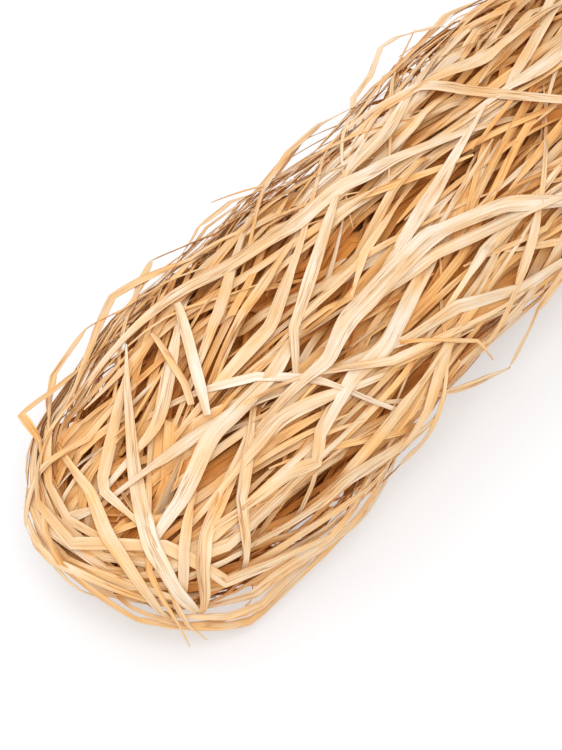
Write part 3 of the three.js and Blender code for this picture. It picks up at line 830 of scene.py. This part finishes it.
def ribbon(random, strip, points_across, stride):
    """A strip's closed mesh: rings of points round its section, and their places along and across it."""
    centre = place(strip.along, strip.across, strip.level, strip.under)
    above = place(strip.along, strip.across, strip.level + 1, strip.under)
    forward = unit(np.gradient(centre, axis=0))
    normal = unit(above - centre)
    faces_up = FACE_UP * np.clip(strip.clear / STANDS_CLEAR, 0, 1) * rising(normal[:, 2], FACE_UP_FROM, 0)
    normal = normal + faces_up[:, None] * (np.array([0, 0, 1.0]) - normal)
    side = unit(np.cross(normal, forward))
    up = np.cross(forward, side)
    roll = strip.roll[:, None]
    side, up = np.cos(roll) * side + np.sin(roll) * up, np.cos(roll) * up - np.sin(roll) * side
    count = len(centre)
    across = np.linspace(-1, 1, points_across)
    across[1:-1] += random.uniform(-POINT_SCATTER, POINT_SCATTER, points_across - 2)
    facets = random.normal(0, FACET, (len(strip.corners) + 1, points_across))
    facets = eased(by_run(facets, strip.corners, count), FACET_PASSES)
    slope = random.normal(0, FOLD)
    fold = slope * np.abs(across - random.uniform(-FOLD_OFF_MIDDLE, FOLD_OFF_MIDDLE)) / 2
    width = strip.width[:, None]
    height = width * (facets + fold)
    reach = np.tile(across, (count, 1))
    reach[:, [0, -1]] *= 1 + eased(random.normal(0, EDGE, (count, 2)), EDGE_PASSES)
    top = centre[:, None] + side[:, None] * (reach * width / 2)[..., None]
    top = top + up[:, None] * (height + THICKNESS / 2)[..., None]
    bottom = top - up[:, None] * THICKNESS
    rings = off_the_floor(np.concatenate([top, bottom[:, ::-1]], axis=1))
    run = np.concatenate([[0], np.cumsum(np.linalg.norm(np.diff(centre, axis=0), axis=1))])
    share = np.concatenate([across, across[::-1]])
    kept = set(range(0, count, stride)) | set(range(TIP_SAMPLES)) | set(range(count - TIP_SAMPLES, count))
    for corner in strip.corners:
        kept |= {corner - 1, corner, corner + 1}
    kept |= set(np.flatnonzero(strip.turned))
    kept = sorted(sample for sample in kept if 0 <= sample < count)
    return SimpleNamespace(rings=rings[kept], run=run[kept], share=share, width=strip.width[kept],
                           tone=strip.tone[kept])


def bulk_ribbon(random, strip):
    """A bulk strip's ribbon, which is plainer where the strip is inside the heap all along."""
    if strip.order.max() > OUTER_ORDER:
        return ribbon(random, strip, OUTER_POINTS, OUTER_STRIDE)
    return ribbon(random, strip, INNER_POINTS, INNER_STRIDE)


def ribbon_faces(count, around):
    """The faces of a ribbon of so many rings with so many points each: its sides, then both its ends."""
    ring = np.arange(count - 1)[:, None] * around
    here = np.arange(around)[None, :]
    beside = (here + 1) % around
    sides = np.stack([ring + here, ring + beside, ring + around + beside, ring + around + here], -1)
    low = np.arange(around // 2 - 1)
    caps = np.stack([low + 1, low, around - 1 - low, around - 2 - low], -1)
    far_caps = (count - 1) * around + caps[:, ::-1]
    return np.concatenate([sides.reshape(-1, 4), caps, far_caps])


def map_boxes(left, right, low, high):
    """The corners of boxes on the bake map, round each one from its lower left."""
    left, right, low, high = np.broadcast_arrays(left, right, low, high)
    return np.stack([left, low, right, low, right, high, left, high], -1).reshape(-1, 2)


def bake_places(ribbons):
    """A map for baking, without overlaps: the ribbons unrolled one after the other, cut into columns."""
    total = sum(item.run[-1] for item in ribbons)
    longest = max(np.diff(item.run).max() for item in ribbons)
    girth = 2 * np.mean([item.width.mean() for item in ribbons])
    columns = max(round(math.sqrt(total / girth)), 1)
    column_length = total / columns
    scale = BAKE_SIDES / (column_length + longest)
    cap_count = sum(item.rings.shape[1] - 2 for item in ribbons)
    cap = 0
    start = 0.0
    places = []
    for item in ribbons:
        around = item.rings.shape[1]
        begin = start + item.run[:-1]
        column = np.minimum(begin // column_length, columns - 1)
        low = (begin - column * column_length) * scale
        high = low + np.diff(item.run) * scale
        share = BAKE_MARGIN + np.arange(around + 1) / around * (1 - 2 * BAKE_MARGIN)
        across = (column[:, None] + share) / columns
        places.append(map_boxes(across[:, :-1], across[:, 1:], low[:, None], high[:, None]))
        cells = (cap + np.arange(around - 2)) / cap_count
        places.append(map_boxes(cells, cells + BAKE_CAP_WIDTH / cap_count, *BAKE_CAPS))
        cap += around - 2
        start += item.run[-1]
    return np.concatenate(places)


def mark_sharp(mesh, lanes):
    """Makes a mesh smooth, apart from its folds across and all edges that run along its ribbons."""
    mesh.shade_smooth()
    mesh.set_sharp_from_angle(angle=SHARP_ANGLE)
    ends = np.empty(2 * len(mesh.edges), int)
    mesh.edges.foreach_get("vertices", ends)
    sharp = np.empty(len(mesh.edges), bool)
    mesh.edges.foreach_get("use_edge_sharp", sharp)
    lane = lanes[ends.reshape(-1, 2)]
    mesh.edges.foreach_set("use_edge_sharp", sharp | (lane[:, 0] == lane[:, 1]))


def mesh_object(name, ribbons, random, material):
    """One object of ribbons, with the attributes and maps that its material and its bake read."""
    start = 0
    rows = []
    for item in ribbons:
        count, around = item.rings.shape[:2]
        offset = random.uniform(0, MAP_SPREAD, 2)
        along = np.repeat(item.run, around) + offset[0]
        across = (item.share[None, :] * item.width[:, None] / 2).ravel() + offset[1]
        rows.append((item.rings.reshape(-1, 3), start + ribbon_faces(count, around),
                     np.stack([across, along], -1) * MAP_SCALE, np.repeat(item.tone, around),
                     np.tile(np.abs(item.share), count), np.tile(np.arange(around), count)))
        start += count * around
    points, faces, places, tones_and_shade, edges, lanes = (np.concatenate(column) for column in zip(*rows))
    mesh = bpy.data.meshes.new(name)
    mesh.from_pydata(points * MILLIMETRE, [], faces)
    for label, values in (("Strip", places[faces]), ("OFBake", bake_places(ribbons))):
        mesh.uv_layers.new(name=label).uv.foreach_set("vector", values.ravel())
    # The tone attribute holds each strip's own tone with painted shade by depth in it.
    for label, values in (("tone", tones_and_shade), ("edge", edges)):
        attribute = mesh.attributes.new(label, "FLOAT", "POINT")
        attribute.data.foreach_set("value", values.astype(np.float32))
    mark_sharp(mesh, lanes)
    mesh.materials.append(material)
    made = bpy.data.objects.new(name, mesh)
    bpy.context.scene.collection.objects.link(made)
    return made


def set_inputs(node, values):
    for name, value in values.items():
        node.inputs[name].default_value = value


def raffia_material():
    """Dry palm leaf: a pale straw colour by strip, made browner with depth as painted shade, with fine brown
    fibres along it and darker edges.
    """
    material = bpy.data.materials.new("raffia")
    material.use_nodes = True
    nodes, links = material.node_tree.nodes, material.node_tree.links
    shader = nodes["Principled BSDF"]
    set_inputs(shader, {"Specular IOR Level": SPECULAR})
    place_on = nodes.new("ShaderNodeUVMap")
    place_on.uv_map = "Strip"

    def feed(socket, value):
        if isinstance(value, float):
            socket.default_value = value
        else:
            links.new(value, socket)

    def attribute(label):
        made = nodes.new("ShaderNodeAttribute")
        made.attribute_name = label
        return made.outputs["Fac"]

    def noise(across, along, detail, rough):
        mapping = nodes.new("ShaderNodeMapping")
        set_inputs(mapping, {"Scale": (across, along, 1)})
        texture = nodes.new("ShaderNodeTexNoise")
        texture.noise_dimensions = "2D"
        set_inputs(texture, {"Scale": 1, "Detail": detail, "Roughness": rough})
        links.new(place_on.outputs["UV"], mapping.inputs["Vector"])
        links.new(mapping.outputs["Vector"], texture.inputs["Vector"])
        return texture.outputs["Fac"]

    def ramp(value, stops):
        made = nodes.new("ShaderNodeValToRGB")
        elements = made.color_ramp.elements
        while len(elements) < len(stops):
            elements.new(0.5)
        for element, (position, colour) in zip(elements, stops):
            element.position = position
            element.color = (*colour, 1)
        links.new(value, made.inputs["Fac"])
        return made.outputs["Color"]

    def math_node(kind, first, second):
        made = nodes.new("ShaderNodeMath")
        made.operation = kind
        feed(made.inputs[0], first)
        feed(made.inputs[1], second)
        return made.outputs["Value"]

    def multiplied(factor, first, second):
        made = nodes.new("ShaderNodeMix")
        made.data_type = "RGBA"
        made.blend_type = "MULTIPLY"
        sockets = {socket.identifier: socket for socket in [*made.inputs, *made.outputs]}
        feed(sockets["Factor_Float"], factor)
        feed(sockets["A_Color"], first)
        feed(sockets["B_Color"], second)
        return sockets["Result_Color"]

    fibres = noise(*FIBRES)
    where_lined = ramp(noise(*LINED_PARTS), LINED_SHARES)
    shift = math_node("MULTIPLY", math_node("SUBTRACT", noise(*BLOTCHES), NOISE_MIDDLE), BLOTCH_TONE)
    # Tone carries painted shade by depth as well as each strip's own paleness.
    colour = ramp(math_node("ADD", attribute("tone"), shift), STRAW_AND_SHADE_COLOURS)
    colour = multiplied(BAND_STRENGTH, colour, ramp(noise(*BANDS), BAND_COLOURS))
    colour = multiplied(where_lined, colour, ramp(fibres, FIBRE_COLOURS))
    colour = multiplied(where_lined, colour, ramp(noise(*LINES), LINE_COLOURS))
    colour = multiplied(RIM_STRENGTH, colour, ramp(attribute("edge"), RIM_COLOURS))
    links.new(colour, shader.inputs["Base Color"])
    roughness = math_node("ADD", math_node("MULTIPLY", fibres, FIBRE_ROUGHNESS), LEAST_ROUGHNESS)
    links.new(roughness, shader.inputs["Roughness"])
    bump = nodes.new("ShaderNodeBump")
    set_inputs(bump, {"Strength": BUMP_STRENGTH, "Distance": BUMP_HEIGHT})
    links.new(fibres, bump.inputs["Height"])
    links.new(bump.outputs["Normal"], shader.inputs["Normal"])
    return material


def add_floor():
    """A pale floor that glows a little, as a photographer's lit table does, so that shadows stay faint."""
    bpy.ops.mesh.primitive_plane_add(size=FLOOR_SIZE, location=(0, 0, 0))
    floor = bpy.context.object
    floor.name = "floor"
    material = bpy.data.materials.new("floor")
    material.use_nodes = True
    set_inputs(material.node_tree.nodes["Principled BSDF"], FLOOR_LOOK)
    floor.data.materials.append(material)


def add_sky():
    world = bpy.data.worlds.new("studio")
    world.use_nodes = True
    set_inputs(world.node_tree.nodes["Background"], SKY_LOOK)
    bpy.context.scene.world = world


def add_facing(name, data, location, target):
    """Puts a lamp or a camera at a place, with its face to a target."""
    made = bpy.data.objects.new(name, data)
    made.location = location
    made.rotation_mode = "QUATERNION"
    made.rotation_quaternion = (Vector(target) - Vector(location)).to_track_quat("-Z", "Y")
    bpy.context.scene.collection.objects.link(made)
    return made


def add_light(name, location, size, power):
    light = bpy.data.lights.new(name, "AREA")
    light.shape = "DISK"
    light.size = size
    light.energy = power
    add_facing(name, light, location, LIGHT_TARGET)


def add_camera():
    """The photo's view, with the bundle's near end at the lower left."""
    level = math.cos(VIEW_ELEVATION)
    back = Vector((math.sin(VIEW_AZIMUTH) * level, -math.cos(VIEW_AZIMUTH) * level, math.sin(VIEW_ELEVATION)))
    camera = bpy.data.cameras.new("camera")
    camera.sensor_width = SENSOR_WIDTH
    camera.lens = FOCAL_PIXELS * SENSOR_WIDTH / PHOTO_PIXELS_HIGH
    camera.clip_start, camera.clip_end = VIEW_CLIP
    location = Vector(VIEW_TARGET) + back * VIEW_DISTANCE
    bpy.context.scene.camera = add_facing("camera", camera, location, VIEW_TARGET)


def main():
    add_camera()
    add_floor()
    add_sky()
    for row in LIGHTS:
        add_light(*row)
    bpy.context.scene.view_settings.view_transform = "Standard"

    random = np.random.default_rng(SEED)
    bulk = [strip for number in range(LOCK_COUNT) for strip in lock(random, number)]
    loose_strips = [loose(random, *row) for row in LOOSE_STRIPS]
    wisps = [short_strip(random, WISP) for _ in range(WISP_COUNT)]
    small_strips = [end_arc(random, end) for end in [-1] * NEAR_ARC_COUNT + [1] * FAR_ARC_COUNT]
    small_strips += [low_strip(random, row) for row in LOW_STRIPS]
    small_strips += [fringe(random, number) for number in range(FRINGE_COUNT)]
    batches = [[short_strip(random, FILLER) for _ in range(FILLER_TRIES)] for _ in range(FILLER_COUNT)]
    fillers = lay_all(bulk, batches, wisps, small_strips + loose_strips)
    bulk = bulk + wisps + small_strips + fillers

    material = raffia_material()
    for number in range(BULK_PIECES):
        ribbons = [bulk_ribbon(random, strip) for strip in bulk[number::BULK_PIECES]]
        piece = mesh_object(f"bulk_strips_{number + 1:02d}", ribbons, random, material)
        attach(piece, "root")
        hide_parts("strand_heap")
    for strip in loose_strips:
        ribbons = [ribbon(random, strip, LOOSE_POINTS, LOOSE_STRIDE)]
        piece = mesh_object(strip.name + "_ribbon", ribbons, random, material)
        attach(piece, "root")
        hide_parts(strip.name)


main()
